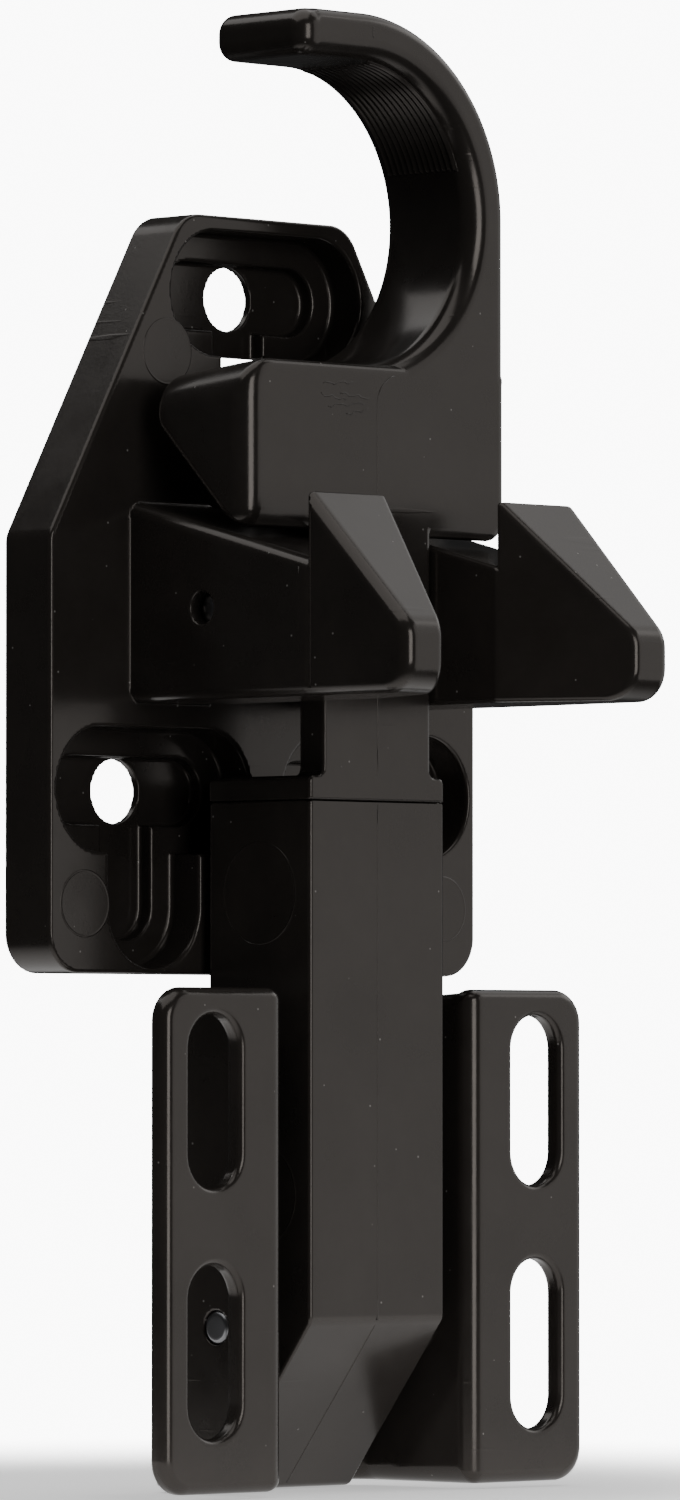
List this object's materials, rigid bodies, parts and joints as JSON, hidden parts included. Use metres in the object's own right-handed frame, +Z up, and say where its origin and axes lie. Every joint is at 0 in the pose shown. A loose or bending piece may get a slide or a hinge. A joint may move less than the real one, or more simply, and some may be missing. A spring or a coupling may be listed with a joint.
{
  "type": "gravity gate latch",
  "caption": "Moulded gravity gate latch: a jawed catch plate for the post and a gate bracket whose winged arm lifts over the jaws and drops behind them.",
  "frame": {"origin": "centre of the catch plate's flat back face, which lies against the post", "axes": "+Z up, -Y out of the post towards the gate's bracket and the jaw tips, +X to the viewer's right"},
  "size_m": [0.0596, 0.0446, 0.1465],
  "materials": {
    "plate_nylon": "satin moulded black",
    "arm_nylon": "satin moulded black",
    "bracket_nylon": "satin moulded black",
    "steel_pin": "ground pin"
  },
  "bodies": {
    "post_side": {"catch_plate": "plate_nylon", "jaw_pin": "steel_pin"},
    "gate_side": {"gate_bracket": "bracket_nylon", "guide_pin": "steel_pin"},
    "lift_arm": {"handle_head": "arm_nylon", "guide_bar": "arm_nylon"}
  },
  "joints": [
    {"name": "gate_play", "type": "slide", "parent": "post_side", "child": "gate_side", "axis": [0, -1, 0], "range_m": [0, 0.008]},
    {"name": "arm_lift", "type": "slide", "parent": "gate_side", "child": "lift_arm", "axis": [0, 0, 1], "range_m": [0, 0.0045]}
  ]
}
